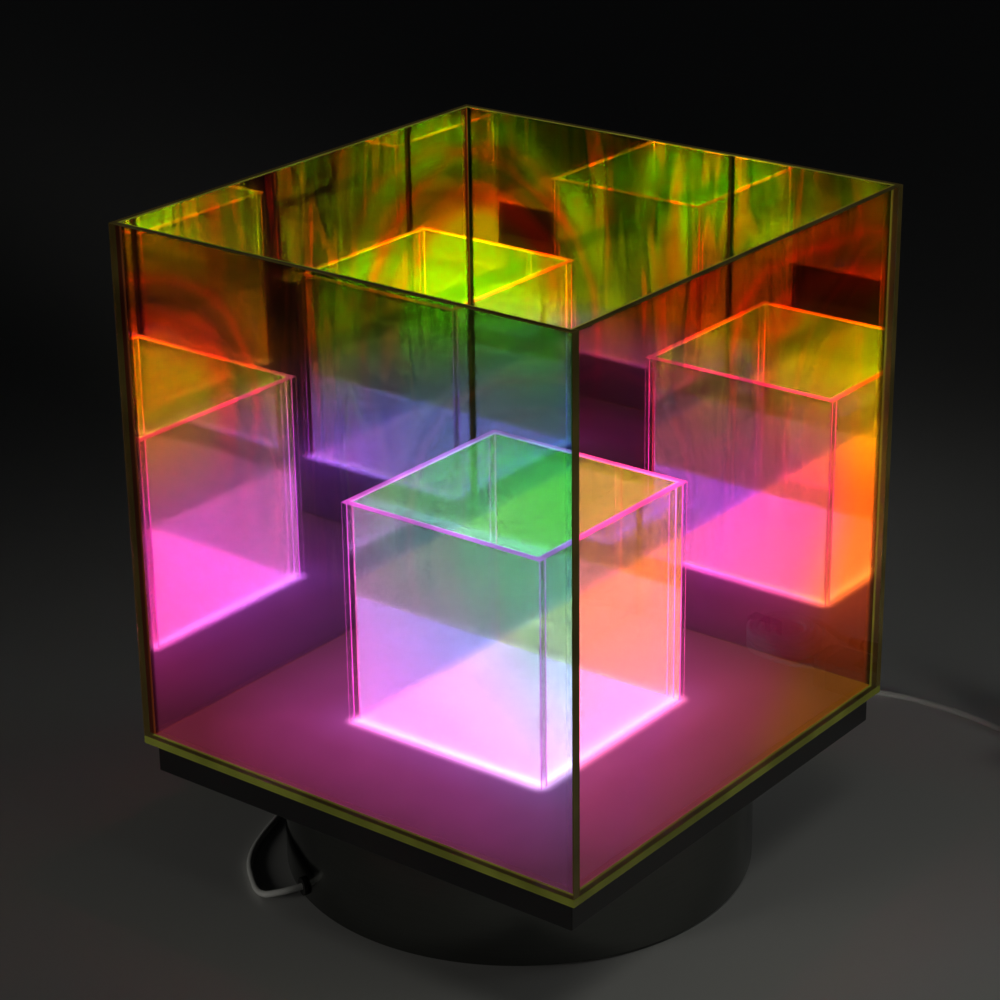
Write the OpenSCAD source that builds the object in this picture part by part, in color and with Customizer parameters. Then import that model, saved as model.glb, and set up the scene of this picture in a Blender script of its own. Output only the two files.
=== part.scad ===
// Colour-shifting cube table lamp.
// An open cube of coated acrylic stands on a square tray over a round steel drum.
// A smaller open cube stands inside it, over the tray's lit window.
// Millimetres, +Z up. The origin is on the table, under the middle of the drum.

/* [Big cube] */
// Outside width of the big cube
cube_w = 200; // [160:1:250]
// Height of the big cube's walls
cube_h = 200; // [150:1:280]
// Thickness of the big cube's wall sheets
sheet_t = 3; // [2:0.5:5]
// Thickness of the floor sheet under the walls
floor_t = 3; // [2:0.5:6]

/* [Small cube] */
// Outside width of the small cube
inner_w = 91; // [60:1:110]
// Height of the small cube's walls
inner_h = 90; // [50:1:140]
// Thickness of the small cube's sheets
inner_t = 3; // [2:0.5:5]

/* [Tray] */
// How far the tray stands back from the big cube's edge
tray_inset = 3.5; // [1:0.5:5]
// Height of the tray
tray_h = 12; // [10:0.5:20]
// Thickness of the tray's sheet
tray_wall = 1.2; // [0.8:0.1:2]
// Thickness of the tray's cover sheet
cover_t = 1; // [0.8:0.1:2]
// Side of the pads that carry the cover in the corners
cover_pad_w = 14; // [8:1:18]
// Gap round the cover and round the diffuser
drop_gap = 0.2; // [0.1:0.05:0.5]

/* [Light] */
// How far the lit window reaches past the small cube on each side
window_margin = 2.5; // [0:0.5:6]
// Thickness of the opal diffuser
diffuser_t = 3; // [2:0.5:4]
// Width of the ledge under the diffuser
ledge_w = 4; // [2:0.5:6]
// Width of the light frame's rim outside the diffuser
frame_rim = 4; // [3:0.5:8]
// Thickness of the light's circuit board
board_t = 1.6; // [1:0.2:2]
// Chips along each side of the grid
chip_rows = 6; // [3:1:8]
// Side of one chip
chip_w = 5; // [3:0.1:5]
// Height of one chip
chip_h = 1.6; // [0.8:0.1:2]
// Length of the lugs that hold the light frame down
lug_l = 10; // [8:0.5:12]
// Width of the lugs
lug_w = 10; // [8:0.5:14]
// How far each lug stands to one side of its edge's middle
lug_side = 24; // [16:1:30]
// Thickness of the lugs
lug_t = 2; // [1.5:0.1:3]

/* [Drum] */
// Outside diameter of the drum
drum_d = 180; // [160:1:190]
// Height of the drum's shell
drum_h = 42; // [34:1:80]
// Thickness of the drum's wall
drum_wall = 1.2; // [0.8:0.1:2]
// Thickness of the drum's roof
roof_t = 1.5; // [1:0.1:3]
// Height of the drum's lower rim above the table
rim_gap = 1; // [0.5:0.1:2]
// Thickness of the plate that closes the drum
plate_t = 2; // [1.8:0.1:4]
// Gap between the plate and the drum's wall
plate_gap = 0.2; // [0.1:0.05:0.6]
// Thickness of the soft foot ring
foot_t = 1; // [0.5:0.1:3]
// Width of the soft foot ring
foot_w = 9; // [5:0.5:10]
// Distance from the drum's wall to the middle of each post
post_inset = 16.8; // [8:0.1:20]
// Diameter of the posts
post_d = 8; // [6:0.5:8]
// Gap between the ballast and what stands next to it
ballast_gap = 2; // [1:0.5:4]
// Height of the ballast
ballast_h = 12; // [6:1:20]

/* [Screws] */
// Shank diameter of the larger screws
screw_d = 3; // [2.5:0.1:3.5]
// Head diameter of the larger screws
head_d = 5.6; // [5:0.1:6.5]
// Head height of the larger screws
head_h = 1.8; // [1.2:0.1:2.4]
// Radial gap between a shank and its hole
shank_gap = 0.05; // [0.02:0.01:0.2]

/* [Driver] */
// Length of the driver board
driver_l = 56; // [48:1:60]
// Width of the driver board
driver_w = 44; // [36:1:46]
// Height of the spacers under the driver board
spacer_h = 5; // [4:0.5:8]
// Distance of the board's holes from its edges
hole_inset = 4; // [3:0.5:6]

/* [Lead] */
// Diameter of the lead
cord_d = 2.6; // [2.2:0.1:3.2]
// Height of the lead where it leaves the drum
exit_z = 5.5; // [5.5:0.1:8]
// Direction of the exit, in degrees from +X
exit_a = -116; // [-130:1:-105]
// Diameter of the grommet's flanges
flange_d = 7; // [6.5:0.1:8]
// Thickness of the grommet's flanges
flange_t = 1.2; // [0.8:0.1:2]
// Diameter of the grommet's neck
neck_d = 5; // [4.8:0.1:5.5]

/* [Switch] */
// Length of the in-line switch
switch_l = 52; // [50:1:60]
// Width of the in-line switch
switch_w = 18; // [18:0.5:24]
// Height of the in-line switch
switch_h = 13; // [13:0.5:16]
// Thickness of the switch's shells
shell_t = 1.3; // [1:0.1:1.6]
// Length of the rocker
rocker_l = 14.8; // [12:0.2:16]
// Width of the rocker
rocker_w = 8.6; // [7:0.2:9]
// Diameter of the rocker's pin
pin_d = 1.6; // [1.2:0.1:2]
// Radial running gap between the pin and the rocker
pin_gap = 0.05; // [0.02:0.01:0.1]
// Tilt of the rocker each way, in degrees
rocker_tilt = 7; // [5:0.5:8]
// Gap between the rocker's nub and the leaf that it holds down
nub_gap = 0.05; // [0.02:0.01:0.1]

/* [Plug] */
// Length of the plug's moulded body
plug_l = 22; // [18:1:30]
// Width of the plug's moulded body
plug_w = 15.4; // [14:0.2:17]
// Thickness of the plug's moulded body
plug_t = 7.6; // [7:0.2:9]
// Length of the metal shell outside the body
tip_l = 12; // [11:0.5:14]

/* [Hidden] */
$fn = 96;
eps = 0.5; // how far a cutter reaches past the face that it cuts

// Levels, from the table up
plate_z = foot_t;
plate_top = plate_z + plate_t;
drum_top = rim_gap + drum_h;
roof_z = drum_top - roof_t;
tray_floor = drum_top + tray_wall;
tray_top = drum_top + tray_h;
cover_z = tray_top - cover_t;
board_top = tray_floor + board_t;
diffuser_z = tray_top - diffuser_t;
wall_z = tray_top + floor_t;

// Widths that follow from others
tray_w = cube_w - 2 * tray_inset;
tray_bore = tray_w - 2 * tray_wall;
window_w = inner_w + 2 * window_margin;
frame_w = window_w + 2 * frame_rim;
well_w = window_w - 2 * ledge_w;
chip_pitch = (well_w - chip_w) / chip_rows;
drum_r = drum_d / 2;
drum_bore_r = drum_r - drum_wall;
plate_r = drum_bore_r - plate_gap;
foot_r = plate_r - 2.5;
lug_r = frame_w / 2 + lug_l / 2;
bush_r = 7;
bush_bore_r = 5;
hole_r = screw_d / 2 + shank_gap;
post_r = drum_bore_r - post_inset;
ballast_r = post_r - post_d / 2 - ballast_gap;
ballast_bore_r = norm([driver_l, driver_w]) / 2 + ballast_gap;
ballast_screw_r = (ballast_r + ballast_bore_r) / 2;
slot_w = cord_d + 4;

// Driver board, in a frame whose -Y side faces the lead's exit
driver_a = exit_a + 90;
driver_z = plate_top + spacer_h;
driver_top = driver_z + board_t;
spacer_d = 5;
small_d = 2.5; // shank of the small board screws
small_head_d = 4.4;
small_head_h = 1.6;
terminal_w = 12;
terminal_l = 11;
terminal_h = 8;
led_block = [14, 8, 6.5];
wire_d = 1.4;
wire_gap = 5;

// Lead inside the drum
neck_gap = 0.05;
flange_seat = 0.1; // the flat inner flange stands this far off the curved wall
grommet_in = drum_bore_r - flange_seat - flange_t;
grommet_out = drum_r + flange_t;
terminal_far = driver_w / 2 + 1 + terminal_l;
anchor_r = ballast_r + 8;
anchor_l = 6;
anchor_w = 12;
anchor_side = 5; // the anchor's screw stands this far beside the lead

// Route of the lead on the table, chosen by hand
cord_r = cord_d / 2;
lead_route = [[-40, -82, 5.5], [-42, -86, 5.4], [-45, -89, 4.6], [-50, -91, 3], [-56, -89, 1.6],
              [-63, -84, 1.3], [-71, -77, 1.3], [-77, -69, 1.3], [-82, -59, 1.3], [-86, -48, 1.3],
              [-91, -33, 1.3], [-96, -16, 1.3], [-99, 2, 1.3], [-98, 22, 1.3], [-92, 42, 1.3],
              [-82, 61, 1.3], [-68, 79, 1.3], [-51, 97, 1.3], [-34, 114, 1.3], [-18, 132, 1.3],
              [-3, 150, 1.3], [12, 167, 1.3], [27, 181, 1.3], [42, 191, 1.3], [58, 196, 1.3],
              [75, 197, 1.3], [92, 196, 1.3], [104, 194, 1.3], [113, 193, 2.4], [119, 193, 4.3],
              [124, 193, 5], [132, 193, 5]];
tail_route = [[168, 193, 5], [176, 193, 5], [181, 193, 4.1], [187, 193, 2.5], [193, 193, 1.9],
              [199, 193, 1.9]];
end_route = [[205, 225, 9.7], [199, 225, 9.2], [193, 225, 7.4], [188, 225, 5.3], [184, 225, 4.1],
             [182, 225, 3.9], [180, 225, 3.9]];

// Coil of the spare length: columns and layers of turns, held by a tie
coil_at = [205, 209];
coil_columns = 3;
coil_layers = 4;
tie_t = 0.6;
coil_mid_r = 13;
coil_in_r = coil_mid_r - coil_columns * cord_d / 2;
coil_out_r = coil_mid_r + coil_columns * cord_d / 2;
coil_h = coil_layers * cord_d;
tie_a = 24; // degrees of the ring under the tie
tie_from = -12;

// In-line switch, round its own middle on the table
switch_at = [150, 193];
seam_z = 5; // the shells part on the lead's axis
shell_r = 4;
floor_skin = 1.4;
pivot_z = 10.2;
ear_l = 6;
ear_gap = 0.2;
window_gap = 0.3;
rocker_low = 2.5; // depth of the rocker under its pin
rocker_end = 3.6; // height of the rocker's ends over its pin
rocker_mid = 2.5; // height of the rocker's middle over its pin
rocker_reach = norm([rocker_l / 2, rocker_end]);
rocker_swing = rocker_reach * cos(atan2(rocker_end, rocker_l / 2) - rocker_tilt);
nub_x = 5; // the nub's distance from the pin's middle
nub_w = 2;
contact_x = 18; // where the lead's wires meet the terminals
contact_l = 5;
contact_w = 6;
contact_h = 4.2;
leaf_t = 0.4;
leaf_w = 3;
nub_z = floor_skin + contact_h + leaf_t + nub_gap;
nub_low = (pivot_z - nub_z - nub_x * sin(rocker_tilt)) / cos(rocker_tilt);
switch_screw_at = [switch_l / 2 - 6, switch_w / 2 - 4];
switch_screw_d = 2;
switch_head_d = 3.8;
switch_head_h = 1.2;
boss_d = 5;

// Plug, from the lead's end towards -X
plug_at = [180, 225, 3.9];
relief_l = 10;
relief_d = [4.2, 6];
tip_w = 12;
tip_t = 4.5;
tip_skin = 0.3;
tongue_w = 11;
tongue_t = 1.9;
contact_n = 4;

// ---- Helpers ----

// Square plate that stands on the origin's plane
module square_plate(w, h) {
    translate([-w / 2, -w / 2, 0])
        cube([w, w, h]);
}

// Ring that stands on the origin's plane
module ring(outer, inner, h) {
    difference() {
        cylinder(r = outer, h = h);
        translate([0, 0, -eps])
            cylinder(r = inner, h = h + 2 * eps);
    }
}

// Children repeated at n even steps round the axis, at radius r
module around(n, r, from = 0) {
    for (k = [0 : n - 1])
        rotate([0, 0, from + k * 360 / n])
            translate([r, 0, 0])
                children();
}

// Children with their +X along the lead's exit, at the exit's height
module at_exit(z = exit_z) {
    rotate([0, 0, exit_a])
        translate([0, 0, z])
            children();
}

// Children at the light frame's four lugs
module at_lugs() {
    around(4, lug_r)
        translate([0, lug_side, 0])
            children();
}

// Rod along +X from x0 to x1
module rod(x0, x1, r) {
    translate([x0, 0, 0])
        rotate([0, 90, 0])
            cylinder(r = r, h = x1 - x0);
}

// Rectangle with round corners, round the origin
module round_rect(l, w, r) {
    square([l - 2 * r, w], center = true);
    square([l, w - 2 * r], center = true);
    for (x = [-1, 1], y = [-1, 1])
        translate([x * (l / 2 - r), y * (w / 2 - r)])
            circle(r = r);
}

// Pan-head screw: the head's seat is at z = 0 and the shank goes down
module pan_screw(shank_d, length, head_dia, head_high) {
    difference() {
        cylinder(d = head_dia, h = head_high);
        for (turn = [0, 90])
            rotate([0, 0, turn])
                translate([-head_dia / 3, -0.3, head_high / 2])
                    cube([head_dia * 2 / 3, 0.6, head_high]);
    }
    translate([0, 0, -length])
        cylinder(d = shank_d, h = length + 0.01);
}

// Countersunk screw from below: its flat face is at z = 0 and the shank goes up
module sunk_screw(shank_d, length, head_dia, head_high) {
    difference() {
        cylinder(d1 = head_dia, d2 = shank_d, h = head_high);
        translate([-head_dia / 3, -0.35, -eps])
            cube([head_dia * 2 / 3, 0.7, eps + head_high / 3]);
    }
    translate([0, 0, head_high / 2])
        cylinder(d = shank_d, h = length - head_high / 2);
}

// Smooth curve through hand-chosen points, cut into steps between them
function blend_point(a, b, c, d, t) =
    0.5 * (2 * b + (c - a) * t + (2 * a - 5 * b + 4 * c - d) * t * t
           + (3 * b - a - 3 * c + d) * t * t * t);
function smooth_route(p, steps) =
    [for (i = [0 : len(p) - 2]) for (k = [0 : steps - 1])
        blend_point(p[max(i - 1, 0)], p[i], p[i + 1], p[min(i + 2, len(p) - 1)], k / steps),
     p[len(p) - 1]];
function heading(p, i) =
    let (v = p[min(i + 1, len(p) - 1)] - p[max(i - 1, 0)]) v / norm(v);
function ring_points(p, i, r, sides) =
    let (ahead = heading(p, i), flat = cross([0, 0, 1], ahead), side = flat / norm(flat),
         up = cross(ahead, side))
    [for (k = [0 : sides - 1])
        let (a = (k + 0.5) * 360 / sides) p[i] + r * (cos(a) * side + sin(a) * up)];

// Tube of radius r along the points p
module tube(p, r, sides = 8) {
    last = (len(p) - 1) * sides;
    points = [for (i = [0 : len(p) - 1]) each ring_points(p, i, r, sides)];
    walls = [for (i = [0 : len(p) - 2], k = [0 : sides - 1])
        let (a = i * sides + k, b = i * sides + (k + 1) % sides)
        each [[a, a + sides, b + sides], [a, b + sides, b]]];
    start = [for (k = [0 : sides - 1]) k];
    finish = [for (k = [sides - 1 : -1 : 0]) last + k];
    polyhedron(points, concat(walls, [start, finish]), convexity = 10);
}

// ---- Big cube ----

module outer_wall_across(side) {
    color("mediumpurple", 0.45)
        translate([-cube_w / 2, side * (cube_w - sheet_t) / 2 - sheet_t / 2, wall_z])
            cube([cube_w, sheet_t, cube_h]);
}

module outer_wall_along(side) {
    color("darkorange", 0.45)
        translate([side * (cube_w - sheet_t) / 2 - sheet_t / 2, sheet_t - cube_w / 2, wall_z])
            cube([sheet_t, cube_w - 2 * sheet_t, cube_h]);
}

module outer_wall_front() outer_wall_across(-1);
module outer_wall_back() outer_wall_across(1);
module outer_wall_left() outer_wall_along(-1);
module outer_wall_right() outer_wall_along(1);

module outer_floor() {
    color("yellowgreen", 0.6)
        translate([0, 0, tray_top])
            square_plate(cube_w, floor_t);
}

// ---- Small cube ----

module inner_wall_across(side) {
    color("orchid", 0.5)
        translate([-inner_w / 2, side * (inner_w - inner_t) / 2 - inner_t / 2, wall_z])
            cube([inner_w, inner_t, inner_h]);
}

module inner_wall_along(side) {
    color("lightsalmon", 0.5)
        translate([side * (inner_w - inner_t) / 2 - inner_t / 2, inner_t - inner_w / 2, wall_z])
            cube([inner_t, inner_w - 2 * inner_t, inner_h]);
}

module inner_wall_front() inner_wall_across(-1);
module inner_wall_back() inner_wall_across(1);
module inner_wall_left() inner_wall_along(-1);
module inner_wall_right() inner_wall_along(1);

// ---- Tray and light box ----

// Holes for the tray's and the light frame's screws, and for the wires
module roof_holes(h) {
    around(4, post_r)
        cylinder(r = hole_r, h = h);
    at_lugs()
        cylinder(r = hole_r, h = h);
    cylinder(r = bush_r, h = h);
}

module tray_shell() {
    color([0.12, 0.12, 0.13])
        translate([0, 0, drum_top])
            difference() {
                square_plate(tray_w, tray_h);
                translate([0, 0, tray_wall])
                    square_plate(tray_bore, tray_h);
                translate([0, 0, -eps])
                    roof_holes(tray_wall + 2 * eps);
            }
}

module tray_cover() {
    color("plum")
        translate([0, 0, cover_z])
            difference() {
                square_plate(tray_bore - 2 * drop_gap, cover_t);
                translate([0, 0, -eps])
                    square_plate(window_w, cover_t + 2 * eps);
            }
}

module cover_pads() {
    reach = tray_bore / 2 - drop_gap - cover_pad_w / 2;
    color([0.25, 0.25, 0.25])
        for (x = [-1, 1], y = [-1, 1])
            translate([x * reach, y * reach, tray_floor])
                square_plate(cover_pad_w, cover_z - tray_floor);
}

module diffuser() {
    color("lavenderblush")
        translate([0, 0, diffuser_z])
            square_plate(window_w - 2 * drop_gap, diffuser_t);
}

module light_frame() {
    color("white")
        difference() {
            union() {
                translate([0, 0, board_top])
                    square_plate(frame_w, cover_z - board_top);
                at_lugs()
                    translate([-lug_l / 2 - 1, -lug_w / 2, tray_floor])
                        cube([lug_l + 1, lug_w, lug_t]);
            }
            translate([0, 0, tray_floor - eps])
                square_plate(well_w, tray_h);
            translate([0, 0, diffuser_z])
                square_plate(window_w, tray_h);
            translate([0, 0, tray_floor - eps])
                square_plate(frame_w, board_t + eps);
            at_lugs()
                translate([0, 0, tray_floor - eps])
                    cylinder(r = hole_r, h = lug_t + 2 * eps);
        }
}

module led_board() {
    color("whitesmoke")
        translate([0, 0, tray_floor])
            square_plate(frame_w, board_t);
}

module led_chips() {
    dish_r = chip_w * 0.36;
    dish_depth = 0.3;
    color("lightyellow")
        for (i = [0 : chip_rows - 1], j = [0 : chip_rows - 1])
            translate([(i - (chip_rows - 1) / 2) * chip_pitch, (j - (chip_rows - 1) / 2) * chip_pitch,
                       board_top])
                difference() {
                    square_plate(chip_w, chip_h);
                    translate([0, 0, chip_h - dish_depth])
                        cylinder(r = dish_r, h = eps + dish_depth);
                }
}

module frame_screws() {
    color("silver")
        at_lugs()
            translate([0, 0, tray_floor + lug_t])
                pan_screw(screw_d, tray_floor + lug_t - roof_z, head_d, head_h);
}

module tray_screws() {
    color("silver")
        around(4, post_r)
            translate([0, 0, tray_floor])
                pan_screw(screw_d, tray_floor - roof_z + 8, head_d, head_h);
}

module lead_bush() {
    color([0.1, 0.1, 0.1])
        translate([0, 0, roof_z])
            ring(bush_r, bush_bore_r, tray_floor - roof_z);
}

// ---- Drum ----

module drum_shell() {
    color([0.62, 0.62, 0.6])
        difference() {
            translate([0, 0, rim_gap])
                cylinder(r = drum_r, h = drum_h);
            translate([0, 0, rim_gap - eps])
                cylinder(r = drum_bore_r, h = roof_z - rim_gap + eps);
            translate([0, 0, roof_z - eps])
                roof_holes(roof_t + 2 * eps);
            at_exit()
                rod(drum_bore_r - 2 * eps, drum_r + 2 * eps, neck_d / 2 + neck_gap);
        }
}

module drum_posts() {
    thread_l = 9;
    color("lightgrey")
        around(4, post_r)
            difference() {
                translate([0, 0, plate_top])
                    cylinder(d = post_d, h = roof_z - plate_top);
                translate([0, 0, plate_top - eps])
                    cylinder(r = hole_r, h = thread_l + eps);
                translate([0, 0, roof_z - thread_l])
                    cylinder(r = hole_r, h = thread_l + eps);
            }
}

module base_plate() {
    color([0.5, 0.5, 0.5])
        difference() {
            translate([0, 0, plate_z])
                cylinder(r = plate_r, h = plate_t);
            around(4, post_r)
                translate([0, 0, plate_z]) {
                    cylinder(d1 = head_d + 2 * shank_gap, d2 = screw_d + 2 * shank_gap, h = head_h);
                    cylinder(r = hole_r, h = plate_t + eps);
                }
            around(2, ballast_screw_r, driver_a)
                translate([0, 0, plate_z - eps])
                    cylinder(r = hole_r, h = plate_t + 2 * eps);
            rotate([0, 0, driver_a])
                board_corners()
                    translate([0, 0, plate_z - eps])
                        cylinder(r = small_d / 2 + shank_gap, h = plate_t + 2 * eps);
            at_exit(plate_z - eps)
                translate([anchor_r, anchor_side, 0])
                    cylinder(r = hole_r, h = plate_t + 2 * eps);
            at_exit()
                rod(grommet_in - eps, drum_r, flange_d / 2 + plate_gap);
        }
}

module base_screws() {
    color("silver")
        around(4, post_r)
            translate([0, 0, plate_z])
                sunk_screw(screw_d, plate_t + 8, head_d, head_h);
}

module foot_ring() {
    color([0.08, 0.08, 0.08])
        ring(foot_r, foot_r - foot_w, foot_t);
}

module ballast() {
    color([0.3, 0.3, 0.32])
        difference() {
            translate([0, 0, plate_top])
                ring(ballast_r, ballast_bore_r, ballast_h);
            at_exit(plate_top - eps)
                translate([0, -slot_w / 2, 0])
                    cube([ballast_r + eps, slot_w, ballast_h + 2 * eps]);
            around(2, ballast_screw_r, driver_a)
                translate([0, 0, plate_top - eps])
                    cylinder(r = hole_r, h = ballast_h + 2 * eps);
        }
}

module ballast_screws() {
    color("silver")
        around(2, ballast_screw_r, driver_a)
            translate([0, 0, plate_top + ballast_h])
                pan_screw(screw_d, ballast_h + plate_t, head_d, head_h);
}

// ---- Driver ----

// Children at the driver board's four holes
module board_corners() {
    for (x = [-1, 1], y = [-1, 1])
        translate([x * (driver_l / 2 - hole_inset), y * (driver_w / 2 - hole_inset), 0])
            children();
}

module driver_board() {
    color("seagreen")
        rotate([0, 0, driver_a])
            difference() {
                translate([-driver_l / 2, -driver_w / 2, driver_z])
                    cube([driver_l, driver_w, board_t]);
                board_corners()
                    translate([0, 0, driver_z - eps])
                        cylinder(r = small_d / 2 + shank_gap, h = board_t + 2 * eps);
            }
}

// A choke, a capacitor and a control chip
module driver_parts() {
    part_x = driver_l / 2 - 12;
    color([0.2, 0.2, 0.22])
        rotate([0, 0, driver_a])
            translate([0, 0, driver_top]) {
                translate([-part_x, 0, 0])
                    cylinder(d = 9, h = 6);
                translate([part_x, 5, 0])
                    cylinder(d = 8, h = 11);
                translate([part_x - 4, -10, 0])
                    cube([6, 5, 1.6]);
            }
}

module board_spacers() {
    color("gold")
        rotate([0, 0, driver_a])
            board_corners()
                translate([0, 0, plate_top])
                    ring(spacer_d / 2, small_d / 2 + shank_gap, spacer_h);
}

module board_screws() {
    color("silver")
        rotate([0, 0, driver_a])
            board_corners()
                translate([0, 0, driver_top])
                    pan_screw(small_d, board_t + spacer_h + plate_t, small_head_d, small_head_h);
}

module cord_terminal() {
    clamp_d = 3.4;
    color("forestgreen")
        rotate([0, 0, driver_a])
            difference() {
                translate([-terminal_w / 2, -terminal_far, plate_top])
                    cube([terminal_w, terminal_l, terminal_h]);
                for (x = [-1, 1])
                    translate([x * terminal_w / 4, terminal_l / 2 - terminal_far,
                               plate_top + terminal_h - 1.5])
                        cylinder(d = clamp_d, h = 1.5 + eps);
            }
}

module led_terminal() {
    color("white")
        rotate([0, 0, driver_a])
            translate([-led_block[0] / 2, -led_block[1] / 2, driver_top])
                cube(led_block);
}

module led_leads() {
    color("firebrick")
        rotate([0, 0, driver_a])
            for (x = [-1, 1])
                translate([x * wire_gap / 2, 0, driver_top + led_block[2]])
                    cylinder(d = wire_d, h = tray_floor - driver_top - led_block[2]);
}

module cord_anchor() {
    anchor_h = exit_z + cord_r + 2 - plate_top;
    color("ivory")
        difference() {
            at_exit(plate_top)
                translate([anchor_r - anchor_l / 2, -anchor_w / 2 + 2.5, 0])
                    cube([anchor_l, anchor_w, anchor_h]);
            at_exit()
                rod(anchor_r - anchor_l, anchor_r + anchor_l, cord_r + shank_gap);
            at_exit(plate_top - eps)
                translate([anchor_r, anchor_side, 0])
                    cylinder(r = hole_r, h = anchor_h + 2 * eps);
        }
}

module anchor_screw() {
    anchor_h = exit_z + cord_r + 2 - plate_top;
    color("silver")
        at_exit(plate_top + anchor_h)
            translate([anchor_r, anchor_side, 0])
                pan_screw(screw_d, anchor_h + plate_t, head_d, head_h);
}

module grommet() {
    color([0.1, 0.1, 0.1])
        at_exit()
            difference() {
                union() {
                    rod(grommet_in, grommet_in + flange_t, flange_d / 2);
                    rod(grommet_in, grommet_out, neck_d / 2);
                    rod(drum_r, grommet_out, flange_d / 2);
                }
                rod(grommet_in - eps, grommet_out + eps, cord_r + shank_gap);
            }
}

// ---- Lead ----

module cord_inside() {
    color("gainsboro")
        at_exit()
            rod(terminal_far, grommet_out, cord_r);
}

module cord_lead() {
    color("gainsboro")
        tube(smooth_route(lead_route, 2), cord_r);
}

module cord_tail() {
    color("gainsboro")
        tube(smooth_route(tail_route, 1), cord_r);
}

module cord_end() {
    color("gainsboro")
        tube(smooth_route(end_route, 1), cord_r);
}

module cord_coil() {
    color("gainsboro")
        translate([coil_at[0], coil_at[1], tie_t])
            ring(coil_out_r, coil_in_r, coil_h);
}

module coil_tie() {
    color([0.1, 0.1, 0.1])
        translate([coil_at[0], coil_at[1], 0])
            rotate([0, 0, tie_from])
                rotate_extrude(angle = tie_a)
                    difference() {
                        translate([coil_in_r - tie_t, 0])
                            square([coil_out_r - coil_in_r + 2 * tie_t, coil_h + 2 * tie_t]);
                        translate([coil_in_r, tie_t])
                            square([coil_out_r - coil_in_r, coil_h]);
                    }
}

// ---- In-line switch ----

module at_switch() {
    translate([switch_at[0], switch_at[1], 0])
        children();
}

// Children at the switch's two screws, on opposite sides of the lead
module switch_screw_places() {
    for (side = [-1, 1])
        translate([side * switch_screw_at[0], side * switch_screw_at[1], 0])
            children();
}

module switch_block(z0, z1, inset) {
    translate([0, 0, z0])
        linear_extrude(z1 - z0)
            round_rect(switch_l - 2 * inset, switch_w - 2 * inset, shell_r - inset);
}

module switch_cord_way() {
    translate([0, 0, seam_z])
        rod(-switch_l / 2 - eps, switch_l / 2 + eps, cord_r + shank_gap);
}

module switch_lower_shell() {
    color("whitesmoke")
        at_switch()
            difference() {
                union() {
                    difference() {
                        switch_block(0, seam_z, 0);
                        switch_block(floor_skin, seam_z + eps, shell_t);
                    }
                    switch_screw_places()
                        cylinder(d = boss_d, h = seam_z);
                }
                switch_cord_way();
                switch_screw_places() {
                    translate([0, 0, -eps])
                        cylinder(d = switch_head_d + 2 * shank_gap, h = switch_head_h + eps);
                    cylinder(r = switch_screw_d / 2 + shank_gap, h = seam_z + eps);
                }
            }
}

module switch_upper_shell() {
    ear_in = rocker_w / 2 + ear_gap;
    ear_out = switch_w / 2 - shell_t / 2;
    roof = switch_h - shell_t;
    color("whitesmoke")
        at_switch()
            difference() {
                union() {
                    difference() {
                        switch_block(seam_z, switch_h, 0);
                        switch_block(seam_z - eps, roof, shell_t);
                    }
                    for (side = [-1, 1])
                        translate([-ear_l / 2, side > 0 ? ear_in : -ear_out, pivot_z - 2.2])
                            cube([ear_l, ear_out - ear_in, switch_h - pivot_z + 1]);
                    switch_screw_places()
                        translate([0, 0, seam_z])
                            cylinder(d = boss_d, h = switch_h - seam_z - shell_t / 2);
                }
                switch_cord_way();
                translate([-rocker_swing - window_gap, -rocker_w / 2 - window_gap, roof - eps])
                    cube([2 * (rocker_swing + window_gap), rocker_w + 2 * window_gap, shell_t + 2 * eps]);
                translate([0, -switch_w / 2 + shell_t, pivot_z])
                    rotate([-90, 0, 0])
                        cylinder(d = pin_d, h = switch_w - 2 * shell_t);
                switch_screw_places()
                    translate([0, 0, seam_z - eps])
                        cylinder(r = switch_screw_d / 2 + shank_gap, h = 5 + eps);
            }
}

module switch_rocker() {
    half = rocker_l / 2;
    color("dimgrey")
        at_switch()
            translate([0, 0, pivot_z])
                rotate([0, rocker_tilt, 0])
                    rotate([90, 0, 0])
                        translate([0, 0, -rocker_w / 2])
                            difference() {
                                linear_extrude(rocker_w)
                                    polygon([[-half, -rocker_low], [nub_x - nub_w, -rocker_low],
                                             [nub_x, -nub_low], [nub_x + nub_w, -rocker_low],
                                             [half, -rocker_low], [half, rocker_end],
                                             [0, rocker_mid], [-half, rocker_end]]);
                                translate([0, 0, -eps])
                                    cylinder(r = pin_d / 2 + pin_gap, h = rocker_w + 2 * eps);
                            }
}

module switch_pin() {
    color("silver")
        at_switch()
            translate([0, -switch_w / 2 + shell_t, pivot_z])
                rotate([-90, 0, 0])
                    cylinder(d = pin_d, h = switch_w - 2 * shell_t);
}

module switch_terminals() {
    color("goldenrod")
        at_switch()
            for (side = [-1, 1])
                translate([side * (contact_x - contact_l / 2) - contact_l / 2, -contact_w / 2, floor_skin])
                    cube([contact_l, contact_w, contact_h]);
}

module switch_leaf() {
    color("goldenrod")
        at_switch()
            translate([-contact_x, -leaf_w / 2, floor_skin + contact_h])
                cube([2 * contact_x, leaf_w, leaf_t]);
}

module switch_screws() {
    color("silver")
        at_switch()
            switch_screw_places()
                translate([0, 0, switch_head_h])
                    mirror([0, 0, 1]) {
                        cylinder(d = switch_head_d, h = switch_head_h - 0.2);
                        translate([0, 0, -seam_z - 3 + switch_head_h])
                            cylinder(d = switch_screw_d, h = seam_z + 3 - switch_head_h + 0.01);
                    }
}

// ---- Plug ----

// Children with their +X running from the lead's end into the plug
module at_plug() {
    translate(plug_at)
        rotate([0, 0, 180])
            children();
}

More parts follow.
